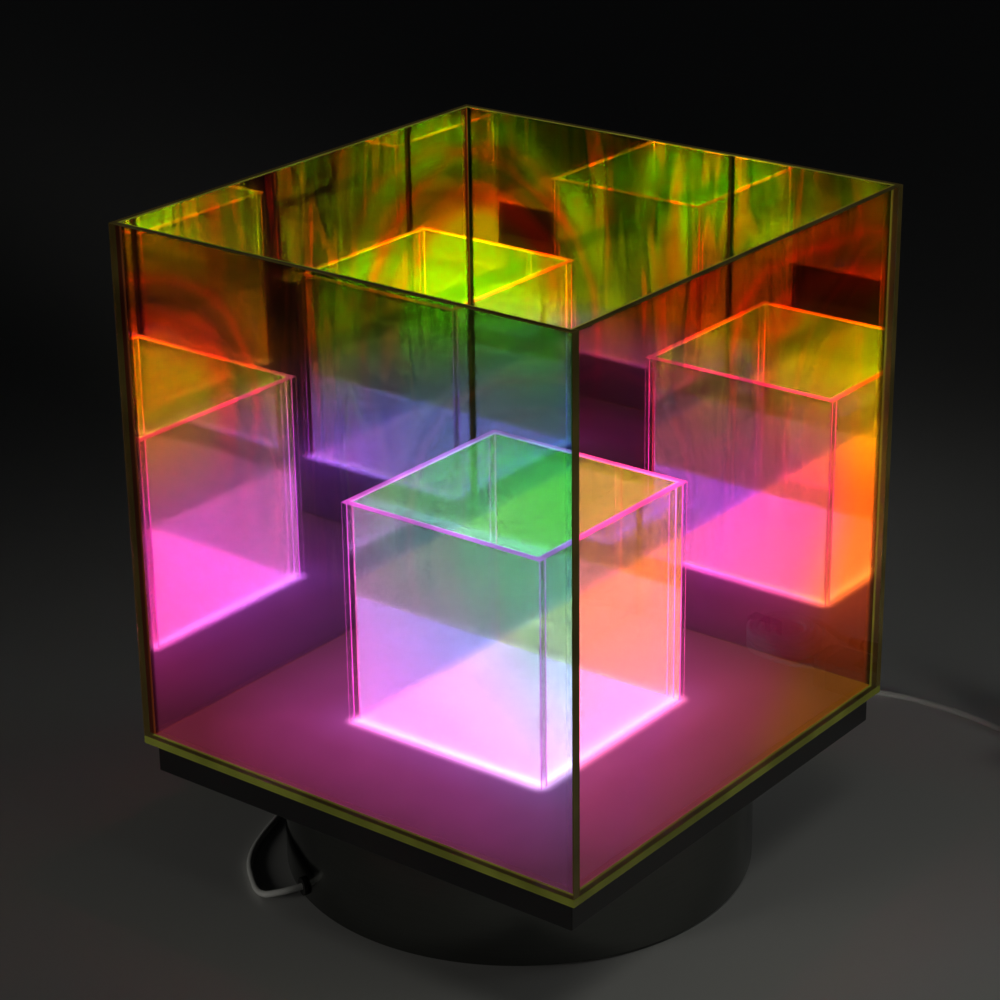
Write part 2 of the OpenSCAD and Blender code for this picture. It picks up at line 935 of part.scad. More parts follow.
// Box along +X with round edges, on the plug's axis
module plug_bar(x0, x1, w, t, r) {
    translate([x0, 0, 0])
        rotate([90, 0, 90])
            linear_extrude(x1 - x0)
                round_rect(w, t, r);
}

module plug_body() {
    color("gainsboro")
        at_plug()
            union() {
                rotate([0, 90, 0])
                    cylinder(d1 = relief_d[0], d2 = relief_d[1], h = relief_l);
                plug_bar(relief_l, relief_l + plug_l, plug_w, plug_t, 1.5);
            }
}

module plug_shell() {
    tip_x = relief_l + plug_l;
    color("silver")
        at_plug()
            difference() {
                plug_bar(tip_x, tip_x + tip_l, tip_w, tip_t, 0.6);
                plug_bar(tip_x - eps, tip_x + tip_l + eps, tip_w - 2 * tip_skin, tip_t - 2 * tip_skin, 0.4);
                for (y = [-1, 1])
                    translate([tip_x + tip_l - 7, y * tip_w / 4 - 1.2, 0])
                        cube([2.4, 2.4, tip_t]);
            }
}

module plug_tongue() {
    tip_x = relief_l + plug_l;
    color("white")
        at_plug()
            translate([tip_x, -tongue_w / 2, -tongue_t])
                cube([tip_l - 0.4, tongue_w, tongue_t]);
}

module plug_contacts() {
    tip_x = relief_l + plug_l;
    pitch = tongue_w / contact_n;
    color("gold")
        at_plug()
            for (k = [0 : contact_n - 1])
                translate([tip_x + 0.5, (k - (contact_n - 1) / 2) * pitch - 0.5, 0])
                    cube([tip_l - 2, 1, 0.2]);
}

outer_wall_front();
outer_wall_back();
outer_wall_left();
outer_wall_right();
outer_floor();
inner_wall_front();
inner_wall_back();
inner_wall_left();
inner_wall_right();
tray_shell();
tray_cover();
cover_pads();
diffuser();
light_frame();
led_board();
led_chips();
frame_screws();
tray_screws();
lead_bush();
drum_shell();
drum_posts();
base_plate();
base_screws();
foot_ring();
ballast();
ballast_screws();
driver_board();
driver_parts();
board_spacers();
board_screws();
cord_terminal();
led_terminal();
led_leads();
cord_anchor();
anchor_screw();
grommet();
cord_inside();
cord_lead();
cord_tail();
cord_coil();
cord_end();
coil_tie();
switch_lower_shell();
switch_upper_shell();
switch_rocker();
switch_pin();
switch_terminals();
switch_leaf();
switch_screws();
plug_body();
plug_shell();
plug_tongue();
plug_contacts();
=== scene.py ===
"""Looks of a colour-shifting cube table lamp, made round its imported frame."""

import math

import bmesh
import bpy
from mathutils import Matrix, Vector


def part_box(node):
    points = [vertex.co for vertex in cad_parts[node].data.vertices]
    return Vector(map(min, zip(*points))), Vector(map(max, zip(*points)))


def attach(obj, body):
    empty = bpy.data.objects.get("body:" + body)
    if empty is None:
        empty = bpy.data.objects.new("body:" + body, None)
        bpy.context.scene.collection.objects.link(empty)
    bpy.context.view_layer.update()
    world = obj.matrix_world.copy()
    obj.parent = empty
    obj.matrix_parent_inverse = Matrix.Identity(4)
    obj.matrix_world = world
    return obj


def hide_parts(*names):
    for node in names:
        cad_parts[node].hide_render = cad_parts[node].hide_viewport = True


MM = 0.001

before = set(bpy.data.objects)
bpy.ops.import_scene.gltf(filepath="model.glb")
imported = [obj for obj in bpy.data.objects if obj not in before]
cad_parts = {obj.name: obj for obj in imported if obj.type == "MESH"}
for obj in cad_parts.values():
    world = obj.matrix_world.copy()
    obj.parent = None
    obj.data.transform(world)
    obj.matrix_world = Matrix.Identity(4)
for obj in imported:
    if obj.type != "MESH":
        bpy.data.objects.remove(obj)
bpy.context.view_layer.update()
scene = bpy.context.scene


# ---- Camera ----

def point_camera(spot, right, up, lens):
    """Stands the camera at spot, with its own right and up directions given in the lamp's frame."""
    data = bpy.data.cameras.new("camera")
    data.lens = lens
    data.sensor_width = 36
    camera = bpy.data.objects.new("camera", data)
    right = Vector(right).normalized()
    back = right.cross(Vector(up)).normalized()
    turn = Matrix((right, back.cross(right), back)).transposed()
    camera.matrix_world = Matrix.Translation(spot) @ turn.to_4x4()
    scene.collection.objects.link(camera)
    scene.camera = camera


point_camera(
    spot=(0.56725, -0.73435, 0.53104),
    right=(0.79069, 0.61210, -0.01233),
    up=(-0.22633, 0.31096, 0.92308),
    lens=98.17,
)


# ---- Lead ----

LEAD_DIAMETER = 2.6 * MM
LEAD_ROUTE = [
    (-40, -82, 5.5), (-42, -86, 5.4), (-45, -89, 4.6), (-50, -91, 3), (-56, -89, 1.6),
    (-63, -84, 1.3), (-71, -77, 1.3), (-77, -69, 1.3), (-82, -59, 1.3), (-86, -48, 1.3),
    (-91, -33, 1.3), (-96, -16, 1.3), (-99, 2, 1.3), (-98, 22, 1.3), (-92, 42, 1.3),
    (-82, 61, 1.3), (-68, 79, 1.3), (-51, 97, 1.3), (-34, 114, 1.3), (-18, 132, 1.3),
    (-3, 150, 1.3), (12, 167, 1.3), (27, 181, 1.3), (42, 191, 1.3), (58, 196, 1.3),
    (75, 197, 1.3), (92, 196, 1.3), (104, 194, 1.3), (113, 193, 2.4), (119, 193, 4.3),
    (124, 193, 5), (132, 193, 5),
]
TAIL_ROUTE = [
    (168, 193, 5), (176, 193, 5), (181, 193, 4.1), (187, 193, 2.5), (193, 193, 1.9),
    (199, 193, 1.9),
]
END_ROUTE = [
    (199, 225, 9.2), (193, 225, 7.4), (188, 225, 5.3), (184, 225, 4.1), (182, 225, 3.9),
    (180, 225, 3.9),
]
COIL_MIDDLE = (205, 209)
COIL_TURNS = 11.5
COIL_COLUMNS = 3
COIL_RADIUS = 15.6
COIL_LIFT = 1.9
STEPS_A_TURN = 36
ROUTE_STEPS = 4
STEP_OVER = 0.2  # the last share of each turn, in which it moves to the next turn's place


def coil_place(turn):
    """Radius and height of a numbered turn, in millimetres: layers go in and out by turns."""
    layer, column = divmod(turn, COIL_COLUMNS)
    if layer % 2:
        column = COIL_COLUMNS - 1 - column
    pitch = LEAD_DIAMETER / MM
    return COIL_RADIUS - column * pitch, COIL_LIFT + layer * pitch


def coil_points():
    """The coil's turns, in millimetres, from the outside of its lowest layer."""
    points = []
    for step in range(int(COIL_TURNS * STEPS_A_TURN) + 1):
        turn, along = divmod(step / STEPS_A_TURN, 1)
        near, far = coil_place(int(turn)), coil_place(int(turn) + 1)
        over = max(0, (along - 1 + STEP_OVER) / STEP_OVER)
        over = over * over * (3 - 2 * over)
        radius, height = (a + (b - a) * over for a, b in zip(near, far))
        angle = math.tau * along - math.pi / 2
        points.append((
            COIL_MIDDLE[0] + radius * math.cos(angle),
            COIL_MIDDLE[1] + radius * math.sin(angle),
            height,
        ))
    return points


def smooth_line(points, steps):
    """A smooth curve through the points, with this many steps between two of them."""
    points = [Vector(p) for p in points]
    line = []
    for i in range(len(points) - 1):
        a, b = points[max(i - 1, 0)], points[i]
        c, d = points[i + 1], points[min(i + 2, len(points) - 1)]
        for k in range(steps):
            t = k / steps
            line.append(0.5 * (
                2 * b + (c - a) * t + (2 * a - 5 * b + 4 * c - d) * t * t
                + (3 * b - a - 3 * c + d) * t * t * t
            ))
    return line + [points[-1]]


def make_lead():
    """One curve for the whole lead: to the switch, through it, round the coil and on to the plug."""
    coil = coil_points()
    line = smooth_line(LEAD_ROUTE + TAIL_ROUTE + coil[:1], ROUTE_STEPS)[:-1]
    line += [Vector(p) for p in coil]
    line += smooth_line(coil[-1:] + END_ROUTE, ROUTE_STEPS)[1:]
    data = bpy.data.curves.new("lead", "CURVE")
    data.dimensions = "3D"
    spline = data.splines.new("POLY")
    spline.points.add(len(line) - 1)
    for point, spot in zip(spline.points, line):
        point.co = (*(spot * MM), 1)
    data.bevel_depth = LEAD_DIAMETER / 2
    data.bevel_resolution = 3
    data.use_fill_caps = True
    lead = bpy.data.objects.new("lead", data)
    scene.collection.objects.link(lead)
    return lead


lead = make_lead()


# ---- Shader helpers ----

def new_material(name):
    material = bpy.data.materials.new(name)
    material.use_nodes = True
    material.node_tree.nodes.clear()
    return material


def node(material, kind, sockets=None, **settings):
    """Adds a node. A socket's value is a number or colour, or another node's output to link."""
    made = material.node_tree.nodes.new(kind)
    for name, value in settings.items():
        setattr(made, name, value)
    for key, value in (sockets or {}).items():
        if isinstance(value, bpy.types.NodeSocket):
            material.node_tree.links.new(value, made.inputs[key])
        else:
            made.inputs[key].default_value = value
    return made


def colour(r, g, b):
    return (r, g, b, 1)


def ramp(material, factor, stops):
    """A colour ramp's output. The stops are (position, colour) pairs."""
    made = node(material, "ShaderNodeValToRGB", {"Fac": factor})
    elements = made.color_ramp.elements
    for position, shade in stops[2:]:
        elements.new(position)
    for element, (position, shade) in zip(elements, stops):
        element.position = position
        element.color = colour(*shade)
    return made.outputs["Color"]


def maths(material, operation, a, b=0.0):
    return node(material, "ShaderNodeMath", {0: a, 1: b}, operation=operation).outputs[0]


def between(material, value, low, high, out_low=0.0, out_high=1.0):
    """value moved from the range low..high to out_low..out_high, smoothly and held at both ends."""
    made = node(material, "ShaderNodeMapRange", {
        "Value": value, "From Min": low, "From Max": high, "To Min": out_low, "To Max": out_high,
    }, interpolation_type="SMOOTHSTEP")
    return made.outputs["Result"]


def between_linear(material, value, low, high):
    """value moved from the range low..high to 0..1, evenly and held at both ends."""
    made = node(material, "ShaderNodeMapRange", {"Value": value, "From Min": low, "From Max": high})
    return made.outputs["Result"]


def place(material, scale=(1, 1, 1), turn=(0, 0, 0)):
    """The piece's own coordinates, in metres, turned and scaled."""
    here = node(material, "ShaderNodeTexCoord").outputs["Object"]
    return node(material, "ShaderNodeMapping", {
        "Vector": here, "Rotation": turn, "Scale": scale,
    }).outputs["Vector"]


def axes(material):
    """The piece's own X, Y and Z, as three outputs."""
    return node(material, "ShaderNodeSeparateXYZ", {"Vector": place(material)}).outputs


def reach(material, output):
    return maths(material, "ABSOLUTE", output)


def noise(material, where, scale, detail=3, roughness=0.5, distortion=0.0):
    return node(material, "ShaderNodeTexNoise", {
        "Vector": where, "Scale": scale, "Detail": detail, "Roughness": roughness,
        "Distortion": distortion,
    }).outputs["Fac"]


def mix_colour(material, factor, a, b):
    return node(material, "ShaderNodeMix", {0: factor, 6: a, 7: b}, data_type="RGBA").outputs[2]


def end_with(material, shader):
    node(material, "ShaderNodeOutputMaterial", {"Surface": shader})
    return material


# ---- Sizes from the frame ----

def half_width(node_name):
    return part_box(node_name)[1].x


def sheet_thickness(node_name):
    low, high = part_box(node_name)
    return high.x - low.x


OUTER_INSIDE = half_width("outer_wall_front") - sheet_thickness("outer_wall_left")
INNER_INSIDE = half_width("inner_wall_front") - sheet_thickness("inner_wall_left")


# ---- Colour-shifting film ----

# How the film passes and mirrors light, from looking straight through it to looking along it
BIG_PASSED = [
    (0.0, (0.3, 0.45, 0.4)), (0.12, (0.25, 0.46, 0.4)), (0.2, (0.06, 0.36, 0.24)),
    (0.25, (0.08, 0.36, 0.28)), (0.28, (0.2, 0.34, 0.38)), (0.3, (0.4, 0.27, 0.46)),
    (0.32, (0.62, 0.2, 0.5)), (0.345, (0.74, 0.17, 0.44)), (0.37, (0.84, 0.14, 0.3)),
    (0.42, (0.86, 0.17, 0.12)), (0.465, (0.82, 0.19, 0.28)), (0.5, (0.86, 0.19, 0.4)),
    (0.525, (0.88, 0.24, 0.2)), (0.537, (0.94, 0.46, 0.02)), (0.56, (1.0, 0.58, 0.01)),
    (0.75, (0.5, 0.48, 0.15)), (1.0, (0.1, 0.11, 0.08)),
]
BIG_MIRRORED = [
    (0.0, (0.4, 0.3, 0.45)), (0.2, (0.62, 0.2, 0.72)), (0.28, (0.5, 0.34, 0.56)),
    (0.35, (0.5, 0.42, 0.78)), (0.42, (0.34, 0.45, 0.6)), (0.5, (0.28, 0.42, 0.66)),
    (0.56, (0.2, 0.36, 0.6)), (0.75, (0.4, 0.42, 0.5)), (1.0, (0.8, 0.8, 0.85)),
]
SMALL_PASSED = [
    (0.0, (0.45, 0.45, 0.4)), (0.25, (0.4, 0.46, 0.44)), (0.3, (0.46, 0.4, 0.46)),
    (0.36, (0.55, 0.36, 0.44)), (0.42, (0.6, 0.44, 0.52)), (0.5, (0.62, 0.46, 0.54)),
    (0.56, (0.65, 0.46, 0.3)), (1.0, (0.15, 0.15, 0.12)),
]
SMALL_MIRRORED = [
    (0.0, (0.5, 0.4, 0.35)), (0.22, (0.62, 0.72, 0.16)), (0.3, (0.56, 0.66, 0.3)),
    (0.38, (0.42, 0.62, 0.6)), (0.46, (0.32, 0.58, 0.85)), (0.56, (0.28, 0.48, 0.8)),
    (1.0, (0.8, 0.8, 0.85)),
]
# High on the big cube the film's mirror colour carries rings of tint round each corner, and streaks past
# them: partly the colour-shifting film's own tint, partly a painted reflection pattern that copies the arcs
# of reflected floor light a wavy film throws
TINT_AND_REFLECTION_RINGS = [
    (0.0, (0.8, 0.98, 0.0)), (0.4, (0.7, 0.8, 0.0)), (0.46, (0.92, 0.42, 0.0)),
    (0.51, (0.88, 0.42, 0.0)), (0.55, (0.32, 0.42, 0.0)), (0.6, (0.42, 0.52, 0.0)),
    (0.63, (0.92, 0.42, 0.0)), (0.66, (0.5, 0.6, 0.0)), (0.7, (0.6, 0.92, 0.0)),
    (0.76, (0.6, 0.92, 0.0)), (0.84, (0.25, 0.32, 0.0)),
]
TINT_AND_REFLECTION_STREAKS = [
    (0.3, (0.12, 0.16, 0.0)), (0.4, (0.4, 0.46, 0.0)), (0.45, (0.16, 0.26, 0.0)),
    (0.49, (0.86, 0.34, 0.0)), (0.52, (0.88, 0.4, 0.0)), (0.54, (0.32, 0.38, 0.0)),
    (0.6, (0.2, 0.36, 0.0)), (0.64, (0.62, 0.92, 0.0)), (0.7, (0.85, 0.45, 0.0)),
]


ACRYLIC_IOR = 1.49
RING_WIDTH = 66 * MM  # from a corner to a ring one unit out, along the wall
RING_HEIGHT = 68 * MM  # the same, up the wall
RING_MIDDLE = 170 * MM  # height of the rings' middle
RING_REACH = 1.6  # units that the rings' tints are spread over
EVEN_BELOW = 130 * MM
UNEVEN_ABOVE = 190 * MM
SEAM_NEAR = 1.0 * MM
SEAM_FAR = 2.8 * MM


def distance(material, a, b):
    """The length of a step of a one way and b across it."""
    squares = [maths(material, "MULTIPLY", side, side) for side in (a, b)]
    return maths(material, "SQRT", maths(material, "ADD", *squares))


def mirror_tint_and_painted_reflections(material, mirrored):
    """The big cube's mirrored tint: even low down, rings and streaks high up that are partly a painted
    reflection pattern, none in the corner seam.
    """
    x, y, z = axes(material)
    aside = maths(material, "MINIMUM", reach(material, x), reach(material, y))
    corner = maths(material, "SUBTRACT", OUTER_INSIDE, aside)
    flat = maths(material, "DIVIDE", corner, RING_WIDTH)
    rise = maths(material, "DIVIDE", maths(material, "SUBTRACT", z, RING_MIDDLE), RING_HEIGHT)
    bend = noise(material, place(material), 16, detail=2)
    wander = between(material, bend, 0.25, 0.75, -0.06, 0.06)
    far = maths(material, "ADD", distance(material, flat, rise), wander)
    # Rings and streaks: a painted reflection pattern laid into the film's mirror colour, on top of the
    # film's own tint.
    rings = ramp(material, maths(material, "DIVIDE", far, RING_REACH), TINT_AND_REFLECTION_RINGS)
    strips = noise(material, place(material, scale=(1, 1, 0.16)), 38, roughness=0.55, distortion=0.4)
    streaks = ramp(material, strips, TINT_AND_REFLECTION_STREAKS)
    tint = mix_colour(material, between(material, far, 1.05, 1.5), rings, streaks)
    high = between(material, z, EVEN_BELOW, UNEVEN_ABOVE)
    seam = between(material, corner, SEAM_NEAR, SEAM_FAR, 0.15, 1)
    return mix_colour(material, seam, colour(0, 0, 0), mix_colour(material, high, mirrored, tint))


def film(name, passed_stops, mirrored_stops, coating=None):
    """The film inside a sheet: one tint passes, another is mirrored, and both turn with the angle."""
    material = new_material(name)
    angle = node(material, "ShaderNodeLayerWeight", {"Blend": 0.5}).outputs["Facing"]
    cloud = noise(material, place(material), 9, detail=1, roughness=0.3)
    angle = maths(material, "ADD", angle, between(material, cloud, 0.25, 0.75, -0.003, 0.003))
    through = node(material, "ShaderNodeBsdfTransparent", {"Color": ramp(material, angle, passed_stops)})
    mirrored = ramp(material, angle, mirrored_stops)
    if coating:
        mirrored = coating(material, mirrored)
    mirror = node(material, "ShaderNodeBsdfGlossy", {"Color": mirrored, "Roughness": 0.0})
    both = node(material, "ShaderNodeAddShader", {0: through.outputs[0], 1: mirror.outputs[0]})
    return end_with(material, both.outputs[0])


def bare_face(name, share_passed):
    """A sheet's bare face, which holds back some light, with a faint gloss and a few wiping marks."""
    material = new_material(name)
    facing = node(material, "ShaderNodeLayerWeight", {"Blend": 0.5}).outputs["Facing"]
    slant = maths(material, "MULTIPLY", maths(material, "POWER", facing, 5.0), 0.9)
    share = maths(material, "ADD", slant, 0.035)
    smear = noise(material, place(material, scale=(1, 1, 4), turn=(0.3, 0.2, 0)), 30, detail=4)
    dull = between(material, smear, 0.55, 0.85, 0.0, 0.02)
    through = node(material, "ShaderNodeBsdfTransparent", {"Color": colour(*(share_passed,) * 3)})
    gloss = node(material, "ShaderNodeBsdfGlossy", {"Color": colour(1, 1, 1), "Roughness": dull})
    both = node(material, "ShaderNodeMixShader", {0: share, 1: through.outputs[0], 2: gloss.outputs[0]})
    return end_with(material, both.outputs[0])


def glowing_edge(name, inside, body, line, line_power, body_power):
    """A sheet's polished edge with a painted glow: emission stands in for the light the sheet carries, with
    a line next to the film.
    """
    material = new_material(name)
    x, y, _ = axes(material)
    across = maths(material, "MAXIMUM", reach(material, x), reach(material, y))
    depth = maths(material, "SUBTRACT", across, inside)
    near_film = between(material, depth, 0.4 * MM, 1.1 * MM, 1, 0)
    patchy = noise(material, place(material), 45, detail=2)
    level = between(material, patchy, 0.3, 0.75, 0.55, 1.2)
    tint = mix_colour(material, near_film, colour(*body), colour(*line))
    power = between(material, near_film, 0, 1, body_power, line_power)
    # Painted glow: emission in patches along the edge, standing in for light carried through the sheet.
    glow = node(material, "ShaderNodeEmission", {
        "Color": tint, "Strength": maths(material, "MULTIPLY", power, level),
    })
    polish = noise(material, place(material), 400, detail=2)
    surface = node(material, "ShaderNodeBsdfPrincipled", {
        "Base Color": tint,
        "Roughness": between(material, polish, 0.3, 0.7, 0.08, 0.22),
        "IOR": ACRYLIC_IOR,
    })
    both = node(material, "ShaderNodeAddShader", {0: glow.outputs[0], 1: surface.outputs[0]})
    return end_with(material, both.outputs[0])


def square_distance(material, half):
    """Distance from the edge of a square of this half width, outside it."""
    past = []
    for side in axes(material)[:2]:
        beyond = maths(material, "SUBTRACT", reach(material, side), half)
        past.append(maths(material, "MAXIMUM", beyond, 0.0))
    return distance(material, *past)


SPILL_REACH = 60 * MM
SPILL_POWER = 0.85
WINDOW_FADE = 8.5 * MM


def lit_floor(name, window_half, glow_power):
    """The satin floor sheet with a painted glow: emission stands in for the light from below through the
    window and the light spilling past its edge.
    """
    material = new_material(name)
    past = square_distance(material, window_half)
    spill = ramp(material, between_linear(material, past, 0, SPILL_REACH), [
        (0.0, (1.0, 0.95, 1.0)),
        (0.05, (0.9, 0.7, 1.0)),
        (0.12, (0.78, 0.42, 0.88)),
        (0.35, (0.58, 0.27, 0.52)),
        (1.0, (0.24, 0.13, 0.15)),
    ])
    edge = between(material, past, -1 * MM, WINDOW_FADE, 1, 0)
    # Painted light: the window's glow and the spill round it are emission on the sheet, not light passed
    # through it.
    core = node(material, "ShaderNodeMath", {
        0: maths(material, "POWER", edge, 2.0), 1: glow_power, 2: SPILL_POWER,
    }, operation="MULTIPLY_ADD").outputs[0]
    haze = noise(material, place(material), 60, detail=3)
    level = maths(material, "MULTIPLY", core, between(material, haze, 0.2, 0.8, 0.94, 1.05))
    grain = noise(material, place(material), 900, detail=2)
    surface = node(material, "ShaderNodeBsdfPrincipled", {
        "Base Color": mix_colour(material, haze, colour(0.16, 0.09, 0.13), colour(0.22, 0.13, 0.18)),
        "Roughness": between(material, grain, 0.3, 0.7, 0.35, 0.5),
        "IOR": ACRYLIC_IOR,
        "Emission Color": spill,
        "Emission Strength": level,
        "Normal": node(material, "ShaderNodeBump", {
            "Height": grain, "Strength": 0.15, "Distance": 0.2 * MM,
        }).outputs["Normal"],
    })
    return end_with(material, surface.outputs[0])


# ---- Other finishes ----

def finish_coat(name, base, second, roughness, metallic=0.0, grain_scale=300, bump=0.1,
                bump_depth=0.1 * MM, cloud_scale=25, coat=0.0, emission=None, emission_power=0.0):
    """A solid finish with clouded colour, uneven gloss and a fine grain."""
    material = new_material(name)
    cloud = noise(material, place(material), cloud_scale, detail=4)
    grain = noise(material, place(material), grain_scale, detail=3)
    share = between(material, cloud, 0.3, 0.7)
    sockets = {
        "Base Color": mix_colour(material, share, colour(*base), colour(*second)),
        "Metallic": metallic,
        "Roughness": between(material, cloud, 0.25, 0.75, roughness, roughness + 0.08),
        "Coat Weight": coat,
        "Coat Roughness": 0.05,
        "Normal": node(material, "ShaderNodeBump", {
            "Height": grain, "Strength": bump, "Distance": bump_depth,
        }).outputs["Normal"],
    }
    if emission:
        sockets["Emission Color"] = colour(*emission)
        sockets["Emission Strength"] = emission_power
    surface = node(material, "ShaderNodeBsdfPrincipled", sockets)
    return end_with(material, surface.outputs[0])


smoked = bare_face("smoked_acrylic", 0.6)
clear = bare_face("clear_acrylic", 0.95)
wall_film = film("film_big_cube", BIG_PASSED, BIG_MIRRORED, mirror_tint_and_painted_reflections)
inner_film = film("film_small_cube", SMALL_PASSED, SMALL_MIRRORED)
outer_edge = glowing_edge("edge_big_cube", OUTER_INSIDE, body=(0.08, 0.06, 0.015),
                          line=(0.35, 0.36, 0.04), line_power=0.3, body_power=0.3)
inner_edge = glowing_edge("edge_small_cube", INNER_INSIDE, body=(0.95, 0.22, 0.85),
                          line=(1.0, 0.5, 1.0), line_power=5.4, body_power=4.0)
plate_edge = glowing_edge("edge_floor", 0.0, body=(0.14, 0.15, 0.02),
                          line=(0.14, 0.15, 0.02), line_power=0.3, body_power=0.3)
floor_top = lit_floor("floor_satin", INNER_INSIDE, glow_power=9.0)
floor_under = finish_coat("floor_underside", (0.46, 0.42, 0.45), (0.52, 0.48, 0.51), 0.4, grain_scale=900)


# ---- Sheets ----

def add_piece(name, mesh_data, body, node_name):
    """A piece that stands for a CAD node and moves with its body."""
    piece = bpy.data.objects.new(name, mesh_data)
    scene.collection.objects.link(piece)
    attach(piece, body)
    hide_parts(node_name)


def rounded_block(low, high, edge, segments=2):
    """A block from its low to its high corner, with its edges rounded."""
    block = bmesh.new()
    bmesh.ops.create_cube(block, size=1)
    size, middle = high - low, (high + low) / 2
    for vertex in block.verts:
        vertex.co = Vector(c * s for c, s in zip(vertex.co, size)) + middle
    bmesh.ops.bevel(block, geom=block.edges[:], offset=edge, segments=segments, profile=0.5,
                    affect="EDGES")
    return block


def mesh_from(block, name, materials, rounded=False):
    """A mesh of the block. Its level and upright faces stay flat unless it is rounded all over."""
    data = bpy.data.meshes.new(name)
    block.to_mesh(data)
    block.free()
    data.set_sharp_from_angle(angle=math.radians(35))
    for face in data.polygons:
        face.use_smooth = rounded or max(abs(c) for c in face.normal) < 0.999
    for material in materials:
        data.materials.append(material)
    return data


BUTT_GAP = 0.05 * MM
EDGE_ROUND = 0.25 * MM
FLAT = 0.99  # a face points along an axis when its normal's share of it is more than this


def wall(name, node_name, body, film_material, bare, edge_material, clear_ends=False):
    """A sheet with the film on the face towards the cube's middle, bare outside, and bright edges."""
    low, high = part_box(node_name)
    thin = "x" if high.x - low.x < high.y - low.y else "y"
    low.z += BUTT_GAP
    if thin == "x":
        low.y += BUTT_GAP
        high.y -= BUTT_GAP
    inward = -1 if getattr(low, thin) + getattr(high, thin) > 0 else 1
    block = rounded_block(low, high, EDGE_ROUND)
    for face in block.faces:
        turned = getattr(face.normal, thin) * inward
        upright = abs(face.normal.x) > FLAT or abs(face.normal.y) > FLAT
        foot = face.calc_center_median().z < low.z + 1 * MM
        if turned > FLAT:
            face.material_index = 0
        elif turned < -FLAT or clear_ends and (upright or foot):
            face.material_index = 1
        else:
            face.material_index = 2
    data = mesh_from(block, name, [film_material, bare, edge_material])
    add_piece(name, data, body, node_name)


for side in ("front", "back", "left", "right"):
    wall(f"big_wall_{side}", f"outer_wall_{side}", "big_cube",
         wall_film, smoked, outer_edge)
    wall(f"small_wall_{side}", f"inner_wall_{side}", "small_cube",
         inner_film, clear, inner_edge, clear_ends=True)


def floor_sheet():
    low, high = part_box("outer_floor")
    block = rounded_block(low, high, EDGE_ROUND)
    for face in block.faces:
        face.material_index = 1
        if face.normal.z > FLAT:
            face.material_index = 0
        elif face.normal.z < -FLAT:
            face.material_index = 2
    data = mesh_from(block, "floor_sheet", [floor_top, plate_edge, floor_under])
    add_piece("floor_sheet", data, "big_cube", "outer_floor")


floor_sheet()


# ---- Tray and drum ----

lacquer = finish_coat("tray_lacquer", (0.012, 0.012, 0.014), (0.02, 0.019, 0.02), 0.16, coat=0.6,
                      grain_scale=220, bump=0.05)


def turned_steel(name, base, second, roughness):
    """Polished steel with fine lines round the axis and faint handling marks."""
    material = new_material(name)
    lines = noise(material, place(material, scale=(1, 1, 60)), 60, detail=4, roughness=0.7)
    marks = noise(material, place(material), 18, detail=5, roughness=0.6)
    surface = node(material, "ShaderNodeBsdfPrincipled", {
        "Base Color": mix_colour(material, lines, colour(*base), colour(*second)),
        "Metallic": 1.0,
        "Roughness": between(material, marks, 0.35, 0.75, roughness, roughness + 0.14),
        "Normal": node(material, "ShaderNodeBump", {
            "Height": lines, "Strength": 0.12, "Distance": 0.1 * MM,
        }).outputs["Normal"],
    })
    return end_with(material, surface.outputs[0])


drum_steel = turned_steel("drum_steel", (0.17, 0.175, 0.165), (0.25, 0.255, 0.24), 0.1)


def lathe(name, profile, steps, materials):
    """Turns an outline of (radius, height) points round +Z into a closed shell."""
    shell = bmesh.new()
    rings = []
    for k in range(steps):
        angle = math.tau * k / steps
        rings.append([shell.verts.new((r * math.cos(angle), r * math.sin(angle), z)) for r, z in profile])
    count = len(profile)
    for k in range(steps):
        near, far = rings[k], rings[(k + 1) % steps]
        for i in range(count):
            j = (i + 1) % count
            shell.faces.new((near[i], far[i], far[j], near[j]))
    bmesh.ops.recalc_face_normals(shell, faces=shell.faces[:])
    return mesh_from(shell, name, materials, rounded=True)


def arc(middle_r, middle_z, radius, start, end, steps=4):
    """Points of an outline's rounded corner, with its angles in degrees."""
    points = []
    for k in range(steps + 1):
        angle = math.radians(start + (end - start) * k / steps)
        points.append((middle_r + radius * math.cos(angle), middle_z + radius * math.sin(angle)))
    return points


def drum_skin():
    """The drum's shell, with a rounded shoulder, a rounded lower rim and a hole for the bush."""
    low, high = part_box("drum_shell")
    radius = high.x
    wall_t = 1.2 * MM
    roof_t = 1.5 * MM
    shoulder = 0.8 * MM
    rim = 0.3 * MM
    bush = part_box("lead_bush")[1].x
    outline = [(bush, high.z)]
    outline += arc(radius - shoulder, high.z - shoulder, shoulder, 90, 0)
    outline += arc(radius - rim, low.z + rim, rim, 0, -90)
    outline += [(radius - wall_t, low.z), (radius - wall_t, high.z - roof_t), (bush, high.z - roof_t)]
    data = lathe("drum_skin", outline, 240, [drum_steel])
    add_piece("drum_skin", data, "base", "drum_shell")


drum_skin()


def tray_body():
    """The tray's pan: a rounded block, hollowed from above down to its floor."""
    low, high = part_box("tray_shell")
    wall_t = 1.2 * MM
    edge = 0.5 * MM
    block = rounded_block(low, high, edge, segments=3)
    top = [f for f in block.faces if f.normal.z > FLAT]
    bmesh.ops.inset_region(block, faces=top, thickness=wall_t - edge)
    top = max((f for f in block.faces if f.normal.z > FLAT), key=lambda f: f.calc_area())
    made = bmesh.ops.extrude_face_region(block, geom=[top])
    bmesh.ops.delete(block, geom=[top], context="FACES")
    for part in made["geom"]:
        if isinstance(part, bmesh.types.BMVert):
            part.co.z = low.z + wall_t
    bmesh.ops.recalc_face_normals(block, faces=block.faces[:])
    data = mesh_from(block, "tray_body", [lacquer])
    add_piece("tray_body", data, "base", "tray_shell")


tray_body()


# ---- Finishes of the pieces that keep their own shape ----

